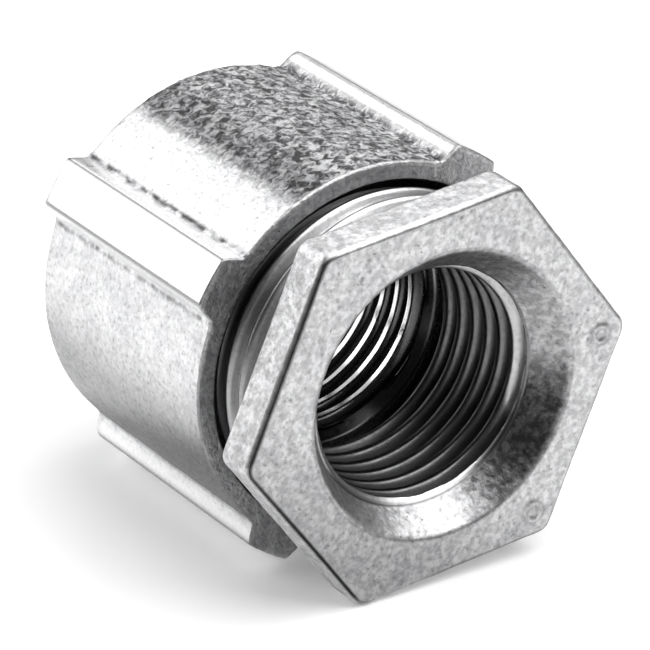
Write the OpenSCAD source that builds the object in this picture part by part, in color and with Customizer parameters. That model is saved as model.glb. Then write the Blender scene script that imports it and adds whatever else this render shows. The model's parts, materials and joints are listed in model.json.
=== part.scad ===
// Three-piece union coupling for threaded rigid conduit, trade size 1/2.
// A hexagon hub and a shouldered rear hub each take one conduit end. A ribbed ring nut turns on
// the rear hub and screws onto the collar of the hexagon hub, which draws the two hubs together.
// The conduit axis is X, with the hexagon towards +X. The origin is on the axis, where the front
// conduit thread begins. Z is up, and the coupling lies on its side. Depths run back from the
// hexagon's front face.

/* [Hexagon hub] */
// Width across the flats of the hexagon
hex_across_flats = 30.2; // [29.5:0.1:31]
// Thickness of the hexagon
hex_thickness = 3.7; // [3:0.1:5]
// Width of the bevel around the front edge of the hexagon
hex_bevel = 0.4; // [0.1:0.1:0.8]
// How far the six corners are rounded back
hex_corner_cut = 0.35; // [0.1:0.05:0.6]
// Outer radius of the threaded collar
collar_radius = 13.65; // [13.4:0.05:13.7]
// Depth of the plane where the two hubs meet
seam_depth = 15.5; // [15:0.1:16]

/* [Ring nut] */
// Radius of the round body
ring_radius = 15.75; // [15.4:0.05:16.2]
// Length along the conduit
ring_length = 23.6; // [22:0.1:25]
// Depth of the front end of the ring
ring_front_depth = 9.25; // [8.5:0.05:10]
// Radius over the ribs
rib_radius = 17.45; // [16.8:0.05:17.8]
// Width of a rib at its top
rib_top_width = 3.5; // [2.5:0.1:4.5]
// Width of a rib where it meets the body
rib_base_width = 5.6; // [4.6:0.1:7]
// Number of ribs
rib_count = 4; // [3:1:6]
// Radial gap between the ring and the pieces inside it
running_gap = 0.15; // [0.1:0.05:0.2]

/* [Rear hub] */
// Outer radius of the sleeve
sleeve_radius = 12.0; // [11.7:0.05:12.2]
// Outer radius of the shoulder
shoulder_radius = 12.75; // [12.6:0.05:12.8]
// Length of the shoulder
shoulder_length = 3.0; // [2:0.1:4]
// How far the sleeve stands out behind the ring
sleeve_reach = 3.2; // [1:0.1:4]

/* [Conduit thread] */
// Radius at the crests of the hexagon hub's straight thread
crest_radius = 9.25; // [9.2:0.05:9.4]
// Radius at the crests of the rear hub's thread, the mean of a tapered one
rear_crest_radius = 9.05; // [8.9:0.05:9.1]
// Depth of the conduit thread
thread_height = 1.05; // [0.8:0.05:1.2]
// Length of one turn of the conduit thread, and of the collar thread
pitch = 1.814; // [1.6:0.001:2]
// Width of a crest
crest_width = 0.42; // [0.2:0.02:0.5]
// Turns of thread in the hexagon hub
front_turns = 5; // [4:1:5]
// Turns of thread in the rear hub
rear_turns = 10; // [6:1:10]
// Radius of the cast mouth at the hexagon's face
mouth_radius = 11.7; // [11:0.1:12]
// Depth where the front conduit thread begins
thread_inset = 2.8; // [2:0.1:3]

/* [Pose] */
// Turn of the hexagon about the conduit, from a corner straight up, towards -Y
hex_turn = 36; // [0:1:60]
// Turn of the first rib about the conduit, from straight up, towards -Y
rib_turn = 56.5; // [0:0.5:90]

/* [Hidden] */
$fn = 96;

hex_corner_radius = hex_across_flats / sqrt(3);
bore_relief_radius = crest_radius + thread_height + 0.45;
chamfer_radius = crest_radius + thread_height - 0.2;
rear_chamfer_radius = rear_crest_radius + thread_height - 0.2;
collar_thread_height = 0.8;
collar_end_chamfer = 0.6;
ring_rear_depth = ring_front_depth + ring_length;
hub_rear_depth = ring_rear_depth + sleeve_reach;
ring_thread_radius = collar_radius + running_gap;
ring_mouth_radius = ring_thread_radius + 0.35;
ring_edge_bevel = 0.45;
lip_depth = seam_depth + shoulder_length;
sleeve_end_chamfer = 0.6;
past = 1;                        // how far a cutter runs past a face

// Height above the origin plane of a point at a given depth behind the hexagon's face
function height(depth) = thread_inset - depth;

// Outline of a row of V grooves between crests, from low to high, as [radius, height] points.
// A positive rise cuts outwards from the crests, and a negative one cuts inwards.
function grooves(crest, rise, low, turns) =
    let (flank = abs(rise) * tan(30))
    [for (i = [0 : turns - 1])
        let (start = low + i * pitch + crest_width)
        each [
            [crest, start],
            [crest + rise, start + flank],
            [crest + rise, start + pitch - crest_width - flank],
            [crest, start + pitch - crest_width]
        ]
    ];

// Stands a shape built along Z on the conduit axis, with its own X axis straight up
module along_conduit() {
    rotate([0, 90, 0]) rotate([0, 0, 180]) children();
}

// A six-sided plate with its six corners rounded back and a bevel around its front edge
module hexagon_plate() {
    top = height(0);
    bottom = height(hex_thickness);
    round_radius = hex_corner_radius - hex_corner_cut;
    intersection() {
        translate([0, 0, bottom]) rotate([0, 0, hex_turn])
            cylinder(r = hex_corner_radius, h = hex_thickness, $fn = 6);
        rotate_extrude() polygon([
            [0, bottom - past], [round_radius, bottom - past], [round_radius, top - hex_bevel],
            [round_radius - hex_bevel * sqrt(3), top], [0, top]
        ]);
    }
}

// The threaded collar behind the hexagon, with ring grooves for its thread
module collar() {
    low = height(seam_depth);
    high = height(hex_thickness);
    root = collar_radius - collar_thread_height;
    turns = floor((high - low - collar_end_chamfer) / pitch);
    rotate_extrude() polygon(concat(
        [[0, low], [root, low], [collar_radius, low + collar_end_chamfer]],
        grooves(collar_radius, -collar_thread_height, low + collar_end_chamfer, turns),
        [[collar_radius, high + past], [0, high + past]]
    ));
}

// The threaded hole of the hexagon hub, with its cast mouth in front and its relief behind
module front_bore() {
    thread_end = -front_turns * pitch - crest_width;
    rotate_extrude() polygon(concat(
        [[0, height(seam_depth) - past], [bore_relief_radius, height(seam_depth) - past],
         [bore_relief_radius, thread_end - thread_height], [crest_radius, thread_end]],
        grooves(crest_radius, thread_height, thread_end, front_turns),
        [[crest_radius, 0], [chamfer_radius, chamfer_radius - crest_radius],
         [mouth_radius, height(0)], [mouth_radius, height(0) + past], [0, height(0) + past]]
    ));
}

module hex_hub() {
    color("silver") along_conduit() difference() {
        union() {
            hexagon_plate();
            collar();
        }
        front_bore();
    }
}

// The outside of the ring: a round body with its end edges bevelled
module ring_body() {
    low = height(ring_rear_depth);
    high = height(ring_front_depth);
    rotate_extrude() polygon([
        [0, low], [ring_radius - ring_edge_bevel * 2, low], [ring_radius, low + ring_edge_bevel * 2],
        [ring_radius, high - ring_edge_bevel], [ring_radius - ring_edge_bevel, high], [0, high]
    ]);
}

// The lengthwise ribs, with sloping sides and a round top
module ribs() {
    low = height(ring_rear_depth);
    foot_radius = ring_radius * 0.85;
    slope = (rib_base_width - rib_top_width) / 2 / (rib_radius - ring_radius);
    foot_width = rib_base_width + 2 * slope * (ring_radius - foot_radius);
    intersection() {
        for (i = [0 : rib_count - 1])
            rotate([0, 0, rib_turn + i * 360 / rib_count])
                translate([0, 0, low]) linear_extrude(ring_length) polygon([
                    [foot_radius, -foot_width / 2],
                    [rib_radius + past, -rib_top_width / 2 + slope * past],
                    [rib_radius + past, rib_top_width / 2 - slope * past],
                    [foot_radius, foot_width / 2]
                ]);
        rotate_extrude() polygon([
            [0, low], [rib_radius - ring_edge_bevel * 2, low],
            [rib_radius, low + ring_edge_bevel * 2],
            [rib_radius, low + ring_length - ring_edge_bevel],
            [rib_radius - ring_edge_bevel, low + ring_length], [0, low + ring_length]
        ]);
    }
}

// The stepped hole of the ring: a wide front end over the collar, and a lip behind the shoulder
module ring_bore() {
    front = height(ring_front_depth);
    mouth_depth = (ring_mouth_radius - ring_thread_radius) * 2;
    lip = height(lip_depth);
    lip_radius = sleeve_radius + running_gap;
    rotate_extrude() polygon([
        [0, height(ring_rear_depth) - past], [lip_radius, height(ring_rear_depth) - past],
        [lip_radius, lip], [ring_thread_radius, lip],
        [ring_thread_radius, front - mouth_depth], [ring_mouth_radius, front],
        [ring_mouth_radius, front + past], [0, front + past]
    ]);
}

module ring_nut() {
    color("lightgray") along_conduit() difference() {
        union() {
            ring_body();
            ribs();
        }
        ring_bore();
    }
}

// The threaded hole of the rear hub, open at both ends
module rear_bore() {
    low = height(hub_rear_depth);
    thread_low = low + rear_chamfer_radius - rear_crest_radius;
    thread_high = thread_low + rear_turns * pitch + crest_width;
    rotate_extrude() polygon(concat(
        [[0, low - past], [rear_chamfer_radius, low - past], [rear_chamfer_radius, low],
         [rear_crest_radius, thread_low]],
        grooves(rear_crest_radius, thread_height, thread_low, rear_turns),
        [[rear_crest_radius, thread_high], [bore_relief_radius, thread_high + thread_height],
         [bore_relief_radius, height(seam_depth) + past], [0, height(seam_depth) + past]]
    ));
}

module rear_hub() {
    low = height(hub_rear_depth);
    high = height(seam_depth);
    color("darkgray") along_conduit() difference() {
        rotate_extrude() polygon([
            [0, low], [sleeve_radius - sleeve_end_chamfer, low],
            [sleeve_radius, low + sleeve_end_chamfer], [sleeve_radius, high - shoulder_length],
            [shoulder_radius, high - shoulder_length], [shoulder_radius, high], [0, high]
        ]);
        rear_bore();
    }
}

hex_hub();
ring_nut();
rear_hub();
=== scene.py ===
"""A three-piece conduit coupling: hexagon hub, ribbed ring nut and rear hub, in zinc-plated iron."""
import json
import math
import random

import bpy
import numpy as np
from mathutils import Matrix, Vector, noise


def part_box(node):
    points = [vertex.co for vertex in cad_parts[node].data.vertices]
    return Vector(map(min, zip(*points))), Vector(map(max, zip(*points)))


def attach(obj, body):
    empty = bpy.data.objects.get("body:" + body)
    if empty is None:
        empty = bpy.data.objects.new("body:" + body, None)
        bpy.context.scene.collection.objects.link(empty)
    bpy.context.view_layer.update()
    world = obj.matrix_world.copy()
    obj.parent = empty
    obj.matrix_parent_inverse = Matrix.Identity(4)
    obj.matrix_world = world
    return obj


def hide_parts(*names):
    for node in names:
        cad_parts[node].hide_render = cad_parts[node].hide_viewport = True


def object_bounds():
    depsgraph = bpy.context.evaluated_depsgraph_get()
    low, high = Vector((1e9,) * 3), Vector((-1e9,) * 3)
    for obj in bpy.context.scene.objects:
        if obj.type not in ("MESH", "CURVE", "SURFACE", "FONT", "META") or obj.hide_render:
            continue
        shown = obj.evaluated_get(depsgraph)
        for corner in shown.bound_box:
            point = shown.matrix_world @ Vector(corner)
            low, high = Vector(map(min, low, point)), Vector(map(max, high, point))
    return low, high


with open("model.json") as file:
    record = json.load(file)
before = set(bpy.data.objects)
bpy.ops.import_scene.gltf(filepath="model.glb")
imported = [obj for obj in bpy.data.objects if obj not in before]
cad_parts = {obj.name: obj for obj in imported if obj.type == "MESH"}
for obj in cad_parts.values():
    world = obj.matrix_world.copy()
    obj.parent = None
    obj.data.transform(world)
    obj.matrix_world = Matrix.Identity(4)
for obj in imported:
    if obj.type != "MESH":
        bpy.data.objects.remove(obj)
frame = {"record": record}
cad_low, cad_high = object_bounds()

MM = 0.001

# ---- Sizes, in millimetres. Depths run back along the conduit from the hexagon's front face ----
hex_low, hex_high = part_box("hex_hub")
ring_low, ring_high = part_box("ring_nut")
rear_low, rear_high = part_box("rear_hub")
mounts = {m["name"]: m for m in frame["record"]["mounts"]}
FACE_X = hex_high.x / MM


def depth_of(x):
    """Depth behind the hexagon's face of a place on the conduit axis, given in metres."""
    return FACE_X - x / MM


SEAM = depth_of(hex_low.x)
RING_FRONT = depth_of(ring_high.x)
RING_REAR = depth_of(ring_low.x)
HUB_REAR = depth_of(rear_low.x)
SHOULDER = rear_high.z / MM
LIP_DEPTH = SEAM + 3.0
CREST = mounts["front_conduit_thread"]["dims"]["r_mm"]
REAR_CREST = mounts["rear_conduit_thread"]["dims"]["r_mm"]
THREAD_START = depth_of(mounts["front_conduit_thread"]["pos_m"][0])
THREAD_END = THREAD_START + mounts["front_conduit_thread"]["dims"]["length_mm"]

# the conduit threads
PITCH = 1.814
THREAD_DEPTH = 1.1
FRONT_LAND, REAR_LAND = 0.4, 0.56  # widths of a crest
FRONT_PHASE, REAR_PHASE = 0.1, 0.55  # where the helices begin, in turns
RELIEF = CREST + 1.5  # radius of the wide stretch between the two threads

# the hexagon hub
HEX_FLATS = 30.2
HEX_THICK = 3.7
HEX_TURN = math.radians(36)
HEX_CORNER_ROUND = 1.3
HEX_BEVEL = 0.5
HEX_REAR_ROUND = 0.35
COLLAR = 13.65
COLLAR_THREAD = 0.95
MOUTH = 11.72
MOUTH_SHIFT = (-0.45, 0.05)  # of the cast mouth's centre, towards -Y and up
LIP_ROUND = 0.32  # how far the mouth's rounded lip reaches onto the face
PIPS = ((276, 14.9, 0.66), (216, 14.9, 0.72), (156, 14.7, 0.7))  # degrees, place, radius
BORE_BEVEL = 9.75  # radius over the machined bevel in front of the thread
BORE_BEVEL_DEPTH = THREAD_START - (BORE_BEVEL - CREST)

# the ring nut
RING_BODY = 15.75
RING_LIP = 12.15
RING_MOUTH = COLLAR + 0.5
RING_THREAD = 0.9
RING_THREAD_CREST = COLLAR - 0.75
RING_BORE = COLLAR + 0.15
RING_REAR_ROUND = 1.0
RIB_RADIUS = 17.45
RIB_TOP = 3.5
RIB_BASE = 5.6
RIB_COUNT = 4
RIB_TURN = math.radians(56.5)

# the rear hub
SLEEVE = 12.0
SLEEVE_ROUND = 0.6
REAR_MOUTH = REAR_CREST + 0.95

# What each point of a mesh keeps for its material, from 0 to 1: coarse sand, darkness (most of it
# painted shade) and polish
LOOKS = ("coarse", "shade", "polish")

# Sectors about the axis, in degrees from straight up towards -Y: the centre, how far from it the
# sector ends, and how far from it the sector is still full
COLLAR_LEFT = (90, 75, 35)
# sectors where the hexagon's front edge carries a painted dark line of shade
EDGE_SHADE_LEFT = (95, 66, 56)
EDGE_SHADE_RIGHT = (262, 96, 76)
MOUTH_LOW = (162, 75, 30)
MOUTH_TOP = (342, 42, 15)
MOUTH_LOWER_RIGHT = (232, 48, 18)
UPPER_RIBS = (-2, 32, 24)
UPPER_RIB_FEET = (-2, 62, 52)
RING_RIGHT = (236, 86, 76)


# ---- Surfaces: every piece is one closed skin of rings around the conduit axis ----
def smooth(x, low, high):
    """0 at low, 1 at high, and a soft step between them."""
    t = np.clip((x - low) / (high - low), 0.0, 1.0)
    return t * t * (3 - 2 * t)


def bell(x, centre, width):
    """A soft bump, 1 at its centre."""
    return np.exp(-(((x - centre) / width) ** 2))


def away(angle, centre):
    """How far an angle is from a centre, in radians, without a sign."""
    return np.abs((angle - centre + math.pi) % (2 * math.pi) - math.pi)


def sector(angle, where):
    """1 in a sector, 0 outside it, and a soft step between them."""
    centre, ends, full = where
    return smooth(np.degrees(away(angle, math.radians(centre))), ends, full)


def span(x, rise_from, rise_to, fall_from, fall_to):
    """A soft rise from 0 to 1, and then a soft fall back to 0."""
    return smooth(x, rise_from, rise_to) * smooth(x, fall_to, fall_from)


def angles(centres, half, fine, coarse):
    """Angles round a circle, closer together within half a window of each centre, from degrees."""
    out = []
    at = 0.0
    while at < 360.0 - 0.4 * coarse:
        out.append(at)
        near = min(abs((at - c + 180.0) % 360.0 - 180.0) for c in centres)
        at += fine if near < half else coarse
    return np.radians(np.array(out))


class Profile:
    """Rings of points round the axis, one after another, each with its looks."""

    def __init__(self, angle):
        self.angle = angle
        self.degrees = np.degrees(angle)
        self.rows = []

    def add(self, depth, radius, **looks):
        """One ring. A depth, a radius or a look is one number or one for each angle."""
        values = [depth, radius] + [looks.get(key, 0.0) for key in LOOKS]
        self.rows.append([np.broadcast_to(np.asarray(v, float), self.angle.shape) for v in values])

    def run(self, start, end, step, **looks):
        """Rings along a straight stretch between two (depth, radius) places, without the first."""
        spans = [np.max(np.abs(np.subtract(b, a))) for a, b in zip(start, end)]
        count = max(1, round(math.hypot(*spans) / step))
        for i in range(1, count + 1):
            t = i / count
            self.add(*(a + (b - a) * t for a, b in zip(start, end)), **looks)

    def turn(self, start, end, steps, first, **looks):
        """Rings round a quarter of an ellipse, which leaves its start along the depth or the radius."""
        for i in range(1, steps + 1):
            a = math.pi / 2 * i / steps
            quick, slow = math.sin(a), 1 - math.cos(a)
            along, across = (quick, slow) if first == "depth" else (slow, quick)
            depth = start[0] + (end[0] - start[0]) * along
            self.add(depth, start[1] + (end[1] - start[1]) * across, **looks)

    def arrays(self):
        """The points of all rings, and each look at every point."""
        data = np.array(self.rows)
        depth, radius = data[:, 0], data[:, 1]
        sine, cosine = np.sin(self.angle), np.cos(self.angle)
        points = np.stack([FACE_X - depth, -radius * sine, radius * cosine], -1)
        return points, {name: data[:, 2 + i] for i, name in enumerate(LOOKS)}


def soft_noise(points, size, seed, octaves=2):
    """Smooth noise from about -1 to 1 at each point, with features of that size in millimetres."""
    shift = Vector((seed * 13.7, seed * 7.3, seed * 3.1))
    flat = points.reshape(-1, 3) / size
    out = np.array([noise.fractal(Vector(p) + shift, 0.8, 2.1, octaves) for p in flat])
    return out.reshape(points.shape[:-1])


def normals_of(points):
    """The outward normal at each point of a skin."""
    along = np.roll(points, -1, 0) - np.roll(points, 1, 0)
    around = np.roll(points, -1, 1) - np.roll(points, 1, 1)
    normal = np.cross(around, along)
    return normal / np.maximum(np.linalg.norm(normal, axis=-1, keepdims=True), 1e-9)


def raised(points, height):
    """The points moved out along their normals by a height at each."""
    return points + normals_of(points) * height[..., None]


def skin(name, points, looks, sharp=75):
    """A closed solid from rings of points, which keeps its looks and its edges above an angle."""
    count, around, _ = points.shape
    index = np.arange(count * around).reshape(count, around)
    right = np.roll(index, -1, axis=1)
    below = np.roll(index, -1, axis=0)
    corner = np.roll(right, -1, axis=0)
    quads = np.stack([index, right, corner, below], -1).reshape(-1, 4)
    mesh = bpy.data.meshes.new(name)
    mesh.from_pydata((points.reshape(-1, 3) * MM).tolist(), [], quads.tolist())
    mesh.polygons.foreach_set("use_smooth", [True] * len(mesh.polygons))
    mesh.set_sharp_from_angle(angle=math.radians(sharp))
    for key, values in looks.items():
        layer = mesh.attributes.new(key, "FLOAT", "POINT")
        layer.data.foreach_set("value", values.reshape(-1).astype(np.float32))
    piece = bpy.data.objects.new(name, mesh)
    bpy.context.scene.collection.objects.link(piece)
    return piece


# ---- Threads ----
def place_in_turn(depth, angle, phase):
    """Where a place is along one turn of a right-hand helix: 0 on a crest, and 0.5 in a root."""
    return (depth / PITCH + angle / (2 * math.pi) + phase) % 1.0


def helix(depth, angle, height, land, phase=0.0):
    """How deep a V groove of that helix is, from 0 on its crests to height in its rounded roots."""
    from_root = np.abs(place_in_turn(depth, angle, phase) - 0.5) * PITCH
    flank = PITCH / 2 - land / 2
    root = flank - height / math.tan(math.radians(60))
    t = np.clip((flank - from_root) / max(flank - root, 1e-6), 0.0, 1.0)
    return (t - 0.06 * np.sin(2 * math.pi * t)) * height


def front_flank(depth, angle, phase):
    """1 on the flanks of that groove that face the front, and 0 on its crests and its roots."""
    turn = place_in_turn(depth, angle, phase)
    return span(turn, 0.5, 0.68, 0.86, 0.99)


# ---- Hexagon hub ----
def hexagon_radius(angle):
    """Polar radius of the hexagon, with its corners rounded."""
    half = math.pi / 6
    a = np.abs((angle - HEX_TURN + half) % (2 * half) - half)
    flat = HEX_FLATS / 2 / np.cos(half - a)
    centre = (HEX_FLATS / 2 - HEX_CORNER_ROUND) / math.cos(half)
    under = np.maximum(HEX_CORNER_ROUND**2 - (centre * np.sin(a)) ** 2, 0.0)
    rounded = centre * np.cos(a) + np.sqrt(under)
    across, along = HEX_CORNER_ROUND * math.sin(half), HEX_CORNER_ROUND * math.cos(half)
    return np.where(a < math.atan2(across, centre + along), rounded, flat)


def mouth_radius(angle):
    """Polar radius of the cast mouth, whose centre is slightly off the axis."""
    towards = MOUTH_SHIFT[0] * np.sin(angle) + MOUTH_SHIFT[1] * np.cos(angle)
    off = MOUTH_SHIFT[0] ** 2 + MOUTH_SHIFT[1] ** 2
    return towards + np.sqrt(MOUTH**2 - off + towards**2)


def add_collar(profile):
    """The rear end of the hub and its threaded collar."""
    angle = profile.angle
    root = COLLAR - COLLAR_THREAD
    # painted shade on the rear end face, which lies between the pieces
    profile.run((SEAM, RELIEF), (SEAM, root), 0.6, shade=0.5)
    for d in np.arange(SEAM - 0.02, HEX_THICK + 0.3, -0.15):
        groove = helix(d, angle, COLLAR_THREAD, 0.3)
        chamfer = root + np.clip((SEAM - d) / 0.7, 0, 1) * COLLAR_THREAD
        # the thread runs out into a plain neck behind the hexagon
        fade = smooth(d, HEX_THICK + 0.9, HEX_THICK + 2.0)
        thread = COLLAR - 0.5 + (0.5 - groove) * fade
        # painted shade: black in the gap where the ring ends, and only in the roots behind that
        behind = smooth(d, RING_FRONT + 0.75, RING_FRONT + 1.5)
        gap_and_root_shade = smooth(d, RING_FRONT - 0.55, RING_FRONT + 0.1)
        gap_and_root_shade = gap_and_root_shade * (1 - behind * (0.72 - 0.6 * groove / COLLAR_THREAD))
        # painted shade, darker on the collar's left side
        side_shade = 0.2 + 0.35 * sector(angle, COLLAR_LEFT)
        profile.add(d, np.minimum(thread, chamfer), shade=np.maximum(side_shade, gap_and_root_shade), polish=0.3)


def add_hexagon(profile, outline, mouth):
    """The hexagon's back face, its rim, its bevelled front edge with a painted dark line, and its front
    face.
    """
    angle = profile.angle
    # painted shade: the back face, which faces the ring, is darker, and the rim a little darker
    rim = {"coarse": 0.4, "shade": 0.07}
    rim_from, rim_to = HEX_THICK - HEX_REAR_ROUND, HEX_BEVEL
    back = (HEX_THICK, outline - HEX_REAR_ROUND)
    profile.run((HEX_THICK, COLLAR - 0.1), back, 0.8, coarse=0.4, shade=0.2)
    profile.turn(back, (rim_from, outline), 3, "radius", **rim)
    profile.run((rim_from, outline), (rim_to, outline), 0.26, **rim)
    # painted shade: a dark line runs along the middle of the front edge, strongest on its left
    front_edge_shade = 0.15 + 0.85 * sector(angle, EDGE_SHADE_LEFT) + 0.5 * sector(angle, EDGE_SHADE_RIGHT)
    for i in range(1, 6):
        a = math.pi / 2 * i / 5
        depth, inset = HEX_BEVEL * (1 - math.sin(a)), HEX_BEVEL * (1 - math.cos(a))
        line = bell(i, 3, 1.3)
        profile.add(depth, outline - inset, coarse=0.3, polish=0.4, shade=front_edge_shade * line)
    profile.run((0.0, outline - HEX_BEVEL), (0.0, mouth + LIP_ROUND), 0.215, coarse=0.34)


def add_mouth(profile, mouth):
    """The rounded lip of the cast mouth, its rough cone, and the machined bevel of the bore."""
    angle, degrees = profile.angle, profile.degrees
    low, top = sector(angle, MOUTH_LOW), sector(angle, MOUTH_TOP)
    lower_right = sector(angle, MOUTH_LOWER_RIGHT)
    # painted shade on the lip and the cone: darker at the top and on the lower right, lighter low
    cone_shade = np.clip(0.36 - 0.25 * low + 0.32 * top + 0.5 * lower_right, 0.0, 0.9)
    rough = np.clip(0.42 - 0.15 * low + 0.35 * lower_right, 0.0, 0.75)
    # the lip is a curve that leaves the face flat and ends in line with the cone
    lip_end = (0.34, mouth - 0.3)
    for i in range(1, 7):
        t = i / 6
        radius = (mouth + LIP_ROUND) * (1 - t) ** 2 + 2 * mouth * t * (1 - t) + lip_end[1] * t * t
        blend = {"coarse": 0.34 * (1 - t) + rough * t, "shade": 0.1 + (cone_shade - 0.1) * t}
        profile.add(lip_end[0] * t * t, radius, **blend)
    cone_end = (BORE_BEVEL_DEPTH - 0.1, BORE_BEVEL + 0.12)
    profile.run(lip_end, cone_end, 0.2, coarse=rough, shade=cone_shade)
    # painted shade: the bevel has a dark outer edge and is darker on its right, and a bright inner one
    # that the thread's grooves cut into, their grooves painted dark
    side_shade = 0.45 + 0.45 * span(degrees, 195, 225, 300, 335)
    steps = 9
    for i in range(steps):
        t = i / steps
        depth = BORE_BEVEL_DEPTH + (THREAD_START - BORE_BEVEL_DEPTH) * t
        radius = BORE_BEVEL + (CREST - BORE_BEVEL) * t
        thread = CREST + helix(depth, angle, THREAD_DEPTH, FRONT_LAND, FRONT_PHASE)
        edge_line_shade = 0.75 if i < 2 else side_shade * (1 - smooth(t, 0.35, 0.6))
        shade = np.maximum(edge_line_shade, 0.85 * smooth(thread - radius, 0.0, 0.15))
        profile.add(depth, np.maximum(radius, thread), shade=shade, polish=0.4)


def add_front_thread(profile):
    """The conduit thread of the hexagon hub, and the relief behind it, both painted dark as shade."""
    angle, degrees = profile.angle, profile.degrees
    # painted light and shade: deeper in, the bore is painted dark and its front-facing flanks lighter;
    # on the upper right, the first flank is painted as bright as the bevel
    first_flank_light = span(degrees, 225, 255, 335, 358)
    for d in np.arange(THREAD_START, THREAD_END + 1.0, 0.12):
        run_out = np.clip((THREAD_END + 1.3 - d) / 1.3, 0, 1)
        groove = helix(d, angle, THREAD_DEPTH, FRONT_LAND, FRONT_PHASE) * run_out
        inside = smooth(d - 0.8 * first_flank_light, THREAD_START + 0.05, THREAD_START + 0.4)
        lit = front_flank(d, angle, FRONT_PHASE)
        shade = np.maximum(0.05 + (0.91 - 0.17 * lit) * inside, 0.35 * first_flank_light)
        profile.add(d, CREST + groove, shade=shade, polish=0.3)
    relief_from = THREAD_END + 1.7
    profile.run((THREAD_END + 1.0, CREST), (relief_from, RELIEF), 0.3, shade=0.95)
    profile.run((relief_from, RELIEF), (SEAM, RELIEF), 0.5, shade=0.97)


def mark_face(points, shade):
    """Presses pits and raises pips on the hexagon's face, and returns its shade with their edges.

    The face is painted darker low on its left, as shade.
    """
    across, up = points[..., 1], points[..., 2]
    on_face = (normals_of(points)[..., 0] > 0.9) & (points[..., 0] > FACE_X - 0.3)
    # painted shade, darker towards the lower left of the face
    dullness_and_shade = 0.14 + 0.33 * smooth(-0.85 * up - 0.5 * across, 4.0, 15.0)
    shade = shade + np.where(on_face, dullness_and_shade, 0.0)

    def distance(angle, radius):
        return np.hypot(across + radius * math.sin(angle), up - radius * math.cos(angle))

    draw = random.Random(11)
    for _ in range(40):
        apart = distance(draw.uniform(0, 2 * math.pi), draw.uniform(12.6, 15.6))
        wide, deep = draw.uniform(0.1, 0.2), draw.uniform(0.04, 0.12)
        dent = np.where(on_face, bell(apart, 0.0, wide), 0.0)
        points[..., 0] -= deep * dent
        shade = np.maximum(shade, 0.7 * dent)
    for angle, place, radius in PIPS:
        apart = distance(math.radians(angle), place)
        ridge = np.where(on_face, bell(apart, radius, 0.2), 0.0)
        foot = np.where(on_face, bell(apart, radius, 0.42), 0.0)
        points[..., 0] += 0.13 * ridge
        shade = np.maximum(shade, 0.8 * (foot - 0.75 * ridge))
    return np.clip(shade, 0.0, 1.0)


def make_hex_hub():
    corners = [math.degrees(HEX_TURN) + 60 * i for i in range(6)]
    profile = Profile(angles(corners, 3.5, 0.5, 1.1))
    outline, mouth = hexagon_radius(profile.angle), mouth_radius(profile.angle)
    add_collar(profile)
    add_hexagon(profile, outline, mouth)
    add_mouth(profile, mouth)
    add_front_thread(profile)
    points, looks = profile.arrays()
    sand = 0.035 * soft_noise(points, size=0.55, seed=1, octaves=3)
    waves = 0.04 * soft_noise(points, size=4.0, seed=2)
    cast = np.minimum(looks["coarse"] * 5, 1)
    points = raised(points, (sand + waves) * (0.25 + looks["coarse"]) * cast)
    looks["shade"] = mark_face(points, looks["shade"])
    piece = skin("hex_hub_casting", points, looks)
    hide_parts("hex_hub")
    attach(piece, "hex_hub")
    return piece


# ---- Ring nut ----
def from_rib(angle):
    """How far each angle is from the middle of the nearest rib, along the round body."""
    step = 2 * math.pi / RIB_COUNT
    return np.abs((angle - RIB_TURN + step / 2) % step - step / 2) * RING_BODY


def rib_rise(across):
    """How far up a rib's sloping side the ring's outside is, from 0 to 1, with a raised foot."""
    rise = np.clip((RIB_BASE / 2 - across) / ((RIB_BASE - RIB_TOP) / 2), 0.0, 1.0)
    foot = 0.1 * bell(across, RIB_BASE / 2, 0.45)
    return np.maximum(rise * 0.6 + smooth(rise, 0.0, 1.0) * 0.4, foot)


def rib_foot(across):
    """1 along the line where a rib's side meets the body, and 0 away from it."""
    return bell(across, RIB_BASE / 2 + 0.12, 0.24)


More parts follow.
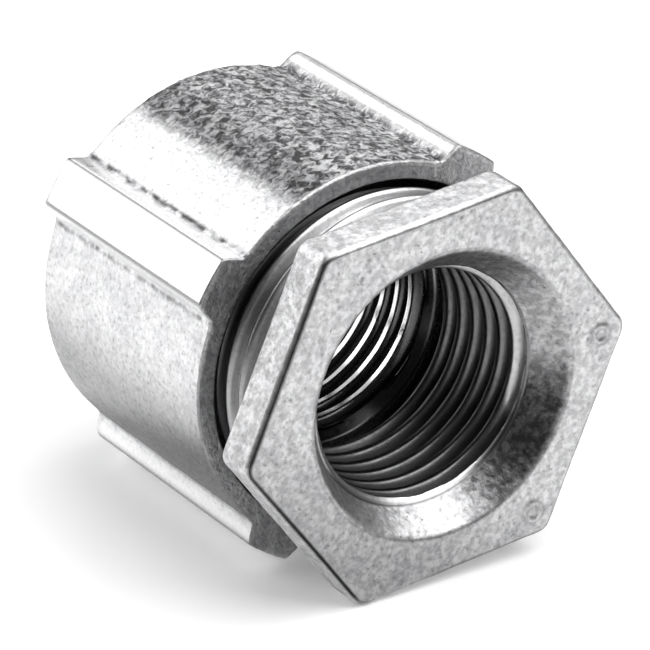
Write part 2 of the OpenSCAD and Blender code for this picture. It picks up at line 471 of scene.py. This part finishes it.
def add_ring_outside(profile, outline, rise, across):
    """The rear edge, the ribbed outside, the front edge and the front face of the ring."""
    angle, degrees = profile.angle, profile.degrees
    # the sector between the two upper ribs has the coarsest sand, and the one below it the finest
    between = sector(angle, UPPER_RIBS)
    on_rib = smooth(rise, 0.1, 0.6)
    coarse = np.clip(0.16 + 0.9 * between + 0.35 * sector(angle, RING_RIGHT), 0, 1)
    coarse = coarse * (1 - 0.85 * on_rib)
    outside = {"coarse": np.maximum(coarse, 0.5 * rib_foot(across)), "polish": 0.85 * on_rib}

    # painted shade: dark lines along the ribs' edges, a dark band on top, and a dark left side that
    # deepens low
    edge_line_shade = 0.8 * bell(across, RIB_TOP / 2 - 0.02, 0.15)
    body = rise < 0.05
    top_band_shade = (0.14 + 0.38 * bell(degrees, 21, 10)) * between
    low_side_shade = np.clip((degrees - 81) / 24, 0, 1)
    low_end = smooth(degrees, 146, 140)

    # painted shade, a little darker, on the rear edge
    rear_shade = np.maximum(edge_line_shade, 0.12 + (0.4 * low_side_shade * low_end + top_band_shade) * body)
    rear_end = (RING_REAR, outline - RING_REAR_ROUND)
    rear_edge = (RING_REAR - RING_REAR_ROUND, outline)
    profile.turn(rear_end, rear_edge, 6, "radius", shade=rear_shade, **outside)
    front_round = 0.22 + 0.12 * between
    front_edge = (RING_FRONT + front_round, outline)
    steps = 104
    for i in range(1, steps + 1):
        depth = rear_edge[0] + (front_edge[0] - rear_edge[0]) * i / steps
        start = 99 + 1.1 * (depth - RING_FRONT)
        low = (0.48 * low_side_shade + 0.33 * smooth(degrees, start - 5, start + 10)) * low_end
        profile.add(depth, outline, shade=np.maximum(edge_line_shade, (low + top_band_shade) * body), **outside)
    face_edge = (RING_FRONT, outline - front_round)
    # painted shade: the round front edge is darker on the left and low, and the front face, under the
    # hexagon, is painted half dark
    edge_shade = 0.35 + 0.35 * span(degrees, 70, 100, 140, 150)
    profile.turn(front_edge, face_edge, 5, "depth", coarse=0.3, shade=edge_shade, polish=0.3)
    profile.run(face_edge, (RING_FRONT, RING_MOUTH + 0.15), 0.3, coarse=0.35, shade=0.5)


def add_ring_inside(profile, outline):
    """The ring's internal thread, its bore over the shoulder, its lip and its rear face."""
    # painted shade: the inside is dark, lighter towards the rear, and the rear face is a little darker
    thread_from = RING_FRONT + 0.25
    profile.run((RING_FRONT, RING_MOUTH + 0.15), (thread_from, RING_MOUTH), 0.15, shade=0.9)
    for d in np.arange(thread_from + 0.1, SEAM + 0.6, 0.17):
        thread = RING_THREAD_CREST + RING_THREAD - helix(d, profile.angle, RING_THREAD, 0.25)
        profile.add(d, np.maximum(thread, RING_MOUTH - (d - thread_from)), shade=0.95)
    lip_edge = 0.4
    profile.run((SEAM + 0.6, RING_BORE), (LIP_DEPTH, RING_BORE), 0.7, shade=0.9)
    profile.run((LIP_DEPTH, RING_BORE), (LIP_DEPTH, RING_LIP), 0.5, shade=0.9)
    profile.run((LIP_DEPTH, RING_LIP), (RING_REAR - lip_edge, RING_LIP), 1.2, shade=0.6)
    rear_inner = (RING_REAR, RING_LIP + lip_edge)
    profile.run((RING_REAR - lip_edge, RING_LIP), rear_inner, 0.2, shade=0.4)
    rear_outer = outline - RING_REAR_ROUND
    for i in range(1, 8):
        t = i / 8
        profile.add(RING_REAR, rear_inner[1] * (1 - t) + rear_outer * t, coarse=0.4, shade=0.3)


def make_ring_nut():
    ribs = [math.degrees(RIB_TURN) + 360 / RIB_COUNT * i for i in range(RIB_COUNT)]
    profile = Profile(angles(ribs, 12, 0.5, 0.92))
    across = from_rib(profile.angle)
    rise = rib_rise(across)
    outline = RING_BODY + (RIB_RADIUS - RING_BODY) * rise
    add_ring_outside(profile, outline, rise, across)
    add_ring_inside(profile, outline)
    points, looks = profile.arrays()
    sand = 0.075 * soft_noise(points, size=0.5, seed=5, octaves=3)
    waves = 0.07 * soft_noise(points, size=2.6, seed=6)
    # broken dark hollows along the ribs' feet, most of all in the upper sector, their darkness painted
    # as shade
    outer = np.hypot(points[..., 1], points[..., 2]) > RING_BODY - 0.4
    outer &= points[..., 0] < FACE_X - RING_FRONT - 0.2
    broken = np.clip(soft_noise(points, size=0.7, seed=9, octaves=1) * 2.4 + 0.5, 0, 1)
    strength = 0.5 + 0.5 * sector(profile.angle, UPPER_RIB_FEET)
    hollows = np.where(outer, rib_foot(across) * broken * strength, 0.0)
    looks["shade"] = np.maximum(looks["shade"], 0.92 * hollows)
    points = raised(points, (sand + waves) * looks["coarse"] - 0.1 * hollows)
    piece = skin("ring_nut_casting", points, looks)
    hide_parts("ring_nut")
    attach(piece, "ring_nut")
    return piece


# ---- Rear hub ----
def add_sleeve(profile):
    """The front face of the hub, its shoulder, its sleeve and its rear face."""
    front_edge, rear_edge = 0.3, HUB_REAR - SLEEVE_ROUND
    # painted shade: the hidden front face and shoulder, the sleeve and the rear end are painted a
    # little darker
    shoulder = {"shade": 0.3}
    profile.run((SEAM, RELIEF - 0.4), (SEAM, SHOULDER - front_edge), 0.5, **shoulder)
    profile.run((SEAM, SHOULDER - front_edge), (SEAM + front_edge, SHOULDER), 0.2, **shoulder)
    profile.run((SEAM + front_edge, SHOULDER), (LIP_DEPTH, SHOULDER), 0.6, **shoulder)
    profile.run((LIP_DEPTH, SHOULDER), (LIP_DEPTH, SLEEVE), 0.4, **shoulder)
    profile.run((LIP_DEPTH, SLEEVE), (rear_edge, SLEEVE), 0.5, coarse=0.25, shade=0.15)
    rear = (HUB_REAR, SLEEVE - SLEEVE_ROUND)
    profile.turn((rear_edge, SLEEVE), rear, 5, "depth", coarse=0.25, shade=0.25, polish=0.3)
    profile.run(rear, (HUB_REAR, REAR_MOUTH), 0.25, coarse=0.2, shade=0.3)


def add_rear_thread(profile):
    """The rear chamfer, the conduit thread with its crests painted bright, and the front chamfer."""
    angle, degrees = profile.angle, profile.degrees

    def thread(depth, land):
        return REAR_CREST + helix(depth, angle, THREAD_DEPTH, land, REAR_PHASE)

    low = HUB_REAR - (REAR_MOUTH - REAR_CREST)
    steps = 7
    for i in range(1, steps):
        depth = HUB_REAR + (low - HUB_REAR) * i / steps
        radius = REAR_MOUTH + (REAR_CREST - REAR_MOUTH) * i / steps
        profile.add(depth, np.maximum(radius, thread(depth, 0.3)), polish=0.8)
    # The rings are closer together in front, where they show. The crests are painted bright on the
    # lower right, from 224 degrees up to a limit that rises towards the front, and dark as shade
    # elsewhere, as are the grooves and the deep inside.
    front = SEAM + 1.3
    change = SEAM + 9
    for d in np.concatenate([np.arange(low, change, -0.16), np.arange(change, front, -0.085)]):
        radius = thread(d, REAR_LAND)
        inside = span(d, SEAM + 5.0, SEAM + 11.0, HUB_REAR - 3, HUB_REAR)
        top = 260 + 5.2 * (21 - d)
        dullness_and_shade = 0.85 * smooth(degrees, top - 3, top + 4)
        dullness_and_shade = np.maximum(dullness_and_shade, np.maximum(0.72 * smooth(degrees, 224, 215), 0.7 * inside))
        shade = np.maximum(dullness_and_shade, 0.9 * smooth(radius - REAR_CREST, 0.0, 0.1))
        profile.add(d, radius, shade=shade, polish=1.0)
    wide = RELIEF - 0.4
    # painted shade on the front chamfer, lighter on its upper right
    chamfer_shade = 0.95 - 0.55 * smooth(degrees, 268, 288)
    steps = 8
    for i in range(steps):
        depth = front + (SEAM - front) * i / steps
        radius = REAR_CREST + (wide - REAR_CREST) * i / steps
        profile.add(depth, np.maximum(radius, thread(depth, 0.4)), shade=chamfer_shade, polish=1.0)


def make_rear_hub():
    profile = Profile(np.radians(np.arange(0, 360, 1.25)))
    add_sleeve(profile)
    add_rear_thread(profile)
    points, looks = profile.arrays()
    sand = 0.03 * soft_noise(points, size=0.6, seed=8)
    points = raised(points, sand * looks["coarse"])
    piece = skin("rear_hub_casting", points, looks)
    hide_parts("rear_hub")
    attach(piece, "rear_hub")
    return piece


# ---- Materials ----
class Nodes:
    """Short ways to make and join the nodes of a material."""

    def __init__(self, name):
        self.material = bpy.data.materials.new(name)
        self.material.use_nodes = True
        self.tree = self.material.node_tree
        self.shader = self.tree.nodes["Principled BSDF"]

    def node(self, kind, **settings):
        made = self.tree.nodes.new(kind)
        for key, value in settings.items():
            setattr(made, key, value)
        return made

    def link(self, value, socket):
        if isinstance(value, bpy.types.NodeSocket):
            self.tree.links.new(value, socket)
        else:
            socket.default_value = value

    def look(self, name):
        return self.node("ShaderNodeAttribute", attribute_name=name).outputs["Fac"]

    def noise(self, where, size, detail, roughness, swirl=0.0):
        """Noise with features of a size in millimetres."""
        made = self.node("ShaderNodeTexNoise")
        self.link(where, made.inputs["Vector"])
        made.inputs["Scale"].default_value = 1 / (size * MM)
        made.inputs["Detail"].default_value = detail
        made.inputs["Roughness"].default_value = roughness
        made.inputs["Distortion"].default_value = swirl
        return made.outputs["Fac"]

    def spots(self, where, size):
        """Distance from scattered spots, which are a size in millimetres apart."""
        made = self.node("ShaderNodeTexVoronoi")
        self.link(where, made.inputs["Vector"])
        made.inputs["Scale"].default_value = 1 / (size * MM)
        return made.outputs["Distance"]

    def ramp(self, value, *stops):
        """A grey for each value, from (value, grey) stops."""
        made = self.node("ShaderNodeValToRGB")
        elements = made.color_ramp.elements
        while len(elements) < len(stops):
            elements.new(0.5)
        for element, (at, grey) in zip(elements, stops):
            element.position = at
            element.color = (grey, grey, min(grey * 1.01, 1.0), 1)
        self.link(value, made.inputs["Fac"])
        return made.outputs["Color"]

    def mix(self, blend, factor, first, second):
        made = self.node("ShaderNodeMix", data_type="RGBA", blend_type=blend)
        for socket, value in ((0, factor), (6, first), (7, second)):
            self.link(value, made.inputs[socket])
        return made.outputs[2]

    def math(self, operation, first, second):
        made = self.node("ShaderNodeMath", operation=operation)
        self.link(first, made.inputs[0])
        self.link(second, made.inputs[1])
        return made.outputs[0]

    def range(self, value, low, high, to_low, to_high):
        made = self.node("ShaderNodeMapRange")
        self.link(value, made.inputs["Value"])
        limits = {"From Min": low, "From Max": high, "To Min": to_low, "To Max": to_high}
        for key, number in limits.items():
            made.inputs[key].default_value = number
        return made.outputs["Result"]


def zinc(name, light, grain, relief, rough=0.36, swirl=0.0):
    """Zinc plate on iron, whose sand grain, painted shade and polish follow the looks of the mesh.

    light is the colour of clean plate, grain the size of its sand and relief its depth, both in
    millimetres, rough its roughness, and swirl how far its coarse patches are twisted.
    """
    nodes = Nodes(name)
    nodes.shader.inputs["Metallic"].default_value = 1.0
    where = nodes.node("ShaderNodeTexCoord").outputs["Object"]
    coarse, shade, polish = (nodes.look(key) for key in LOOKS)
    fine = nodes.noise(where, grain, 5, 0.62)
    broad = nodes.noise(where, 2.4, 3, 0.5)
    patchy = nodes.noise(where, grain * 1.9, 4, 0.6, swirl)
    pits = nodes.spots(where, 0.9)

    # colour: bright plating, darker in its grain, its stains, its coarse patches and its pits, and
    # darkened where shade is painted
    tone = nodes.ramp(fine, (0.30, light * 0.6), (0.45, light * 0.9), (0.62, light))
    tone = nodes.mix("MULTIPLY", 1.0, tone, nodes.ramp(broad, (0.3, 0.86), (0.6, 1.0)))
    tone = nodes.mix("MIX", polish, tone, (light, light, light, 1))
    patches = nodes.ramp(patchy, (0.40, 0.12), (0.49, 0.45), (0.60, 1.0))
    tone = nodes.mix("MULTIPLY", coarse, tone, patches)
    tone = nodes.mix("MULTIPLY", 1.0, tone, nodes.ramp(pits, (0.0, 0.35), (0.09, 1.0)))
    tone = nodes.mix("MULTIPLY", shade, tone, (0.03, 0.03, 0.032, 1))
    nodes.link(tone, nodes.shader.inputs["Base Color"])

    # roughness: duller in the coarse patches, brighter where machined
    dullness_and_shade = nodes.range(fine, 0.3, 0.7, rough + 0.08, rough - 0.05)
    dullness_and_shade = nodes.math("ADD", dullness_and_shade, nodes.math("MULTIPLY", coarse, 0.14))
    dullness_and_shade = nodes.math("SUBTRACT", dullness_and_shade, nodes.math("MULTIPLY", polish, 0.1))
    nodes.link(dullness_and_shade, nodes.shader.inputs["Roughness"])

    # relief: sand grain that deepens in the coarse patches, and pits
    unpolished = nodes.math("SUBTRACT", 1.0, polish)
    depth = nodes.math("ADD", coarse, nodes.math("MULTIPLY", unpolished, 0.2))
    grain_height = nodes.math("MULTIPLY", nodes.math("ADD", fine, patchy), depth)
    pit_height = nodes.math("MULTIPLY", nodes.range(pits, 0.0, 0.1, -0.5, 0.0), unpolished)
    bump = nodes.node("ShaderNodeBump")
    bump.inputs["Strength"].default_value = 1.0
    bump.inputs["Distance"].default_value = relief * MM
    nodes.link(nodes.math("ADD", grain_height, pit_height), bump.inputs["Height"])
    nodes.link(bump.outputs["Normal"], nodes.shader.inputs["Normal"])
    return nodes.material


# ---- Camera, lights and floor ----
AZIMUTH, ELEVATION = math.radians(57.06), math.radians(25.11)
DISTANCE = 391.3  # of the camera from its aim, in millimetres
LENS = 287.6
AIM_RIGHT, AIM_UP = -8.68, 5.524  # of the aim from the middle of the hexagon's face
FLOOR_REACH = 3.0  # half the floor's width, in metres
LIGHT_AIM = Vector((-0.012, 0, 0))  # in metres, as are the softboxes' sizes
LIGHT_DISTANCE = 0.6


def look_along(thing, direction):
    """Puts a camera or a lamp in the scene, facing a direction."""
    thing.rotation_mode = "QUATERNION"
    thing.rotation_quaternion = direction.to_track_quat("-Z", "Y")
    bpy.context.scene.collection.objects.link(thing)


def make_camera():
    right = Vector((math.cos(AZIMUTH), math.sin(AZIMUTH), 0))
    level = math.cos(ELEVATION)
    back = Vector((math.sin(AZIMUTH) * level, -math.cos(AZIMUTH) * level, math.sin(ELEVATION)))
    up = back.cross(right)
    data = bpy.data.cameras.new("camera")
    data.lens = LENS
    data.clip_start = 0.01
    data.clip_end = 10
    camera = bpy.data.objects.new("camera", data)
    aim = Vector((FACE_X, 0, 0)) + right * AIM_RIGHT + up * AIM_UP
    camera.location = (aim + back * DISTANCE) * MM
    look_along(camera, -back)
    bpy.context.scene.camera = camera


def softbox(name, direction, size, radiance):
    """An area light of a given size and radiance, in a direction from the coupling, facing it."""
    data = bpy.data.lights.new(name, "AREA")
    data.shape = "RECTANGLE"
    data.size, data.size_y = size
    data.energy = radiance * math.pi * size[0] * size[1]
    lamp = bpy.data.objects.new(name, data)
    lamp.location = LIGHT_AIM + Vector(direction).normalized() * LIGHT_DISTANCE
    look_along(lamp, LIGHT_AIM - lamp.location)


def make_floor():
    mesh = bpy.data.meshes.new("floor")
    corners = ((-1, -1), (1, -1), (1, 1), (-1, 1))
    points = [(x * FLOOR_REACH, y * FLOOR_REACH, cad_low.z) for x, y in corners]
    mesh.from_pydata(points, [], [(0, 1, 2, 3)])
    floor = bpy.data.objects.new("floor", mesh)
    bpy.context.scene.collection.objects.link(floor)
    # slightly self-lit, as a bright paper sweep is
    paper = Nodes("paper")
    paper.shader.inputs["Base Color"].default_value = (0.92, 0.92, 0.92, 1)
    paper.shader.inputs["Roughness"].default_value = 0.9
    paper.shader.inputs["Emission Color"].default_value = (1, 1, 1, 1)
    paper.shader.inputs["Emission Strength"].default_value = 0.22
    mesh.materials.append(paper.material)


def make_lights():
    world = bpy.data.worlds.new("studio")
    world.use_nodes = True
    world.node_tree.nodes["Background"].inputs["Color"].default_value = (1, 1, 1, 1)
    world.node_tree.nodes["Background"].inputs["Strength"].default_value = 0.05
    bpy.context.scene.world = world
    softbox("top_softbox", (0.25, 0.3, 0.92), (0.78, 0.78), 3.0)
    softbox("rear_softbox", (-0.72, 0.4, 0.56), (0.26, 0.26), 2.4)
    softbox("key_softbox", (-0.73, -0.44, 0.46), (0.66, 0.48), 2.4)
    bpy.context.scene.view_settings.view_transform = "Standard"


make_camera()
make_floor()
make_lights()
hub_plate = zinc("zinc_cast_hub_plate", light=0.84, grain=0.36, relief=0.06)
ring_plate = zinc("zinc_cast_ring_plate", light=0.9, grain=0.36, relief=0.16, swirl=0.8)
machined_plate = zinc("zinc_machined_plate", light=0.86, grain=0.3, relief=0.03, rough=0.3)
make_hex_hub().data.materials.append(hub_plate)
make_ring_nut().data.materials.append(ring_plate)
make_rear_hub().data.materials.append(machined_plate)
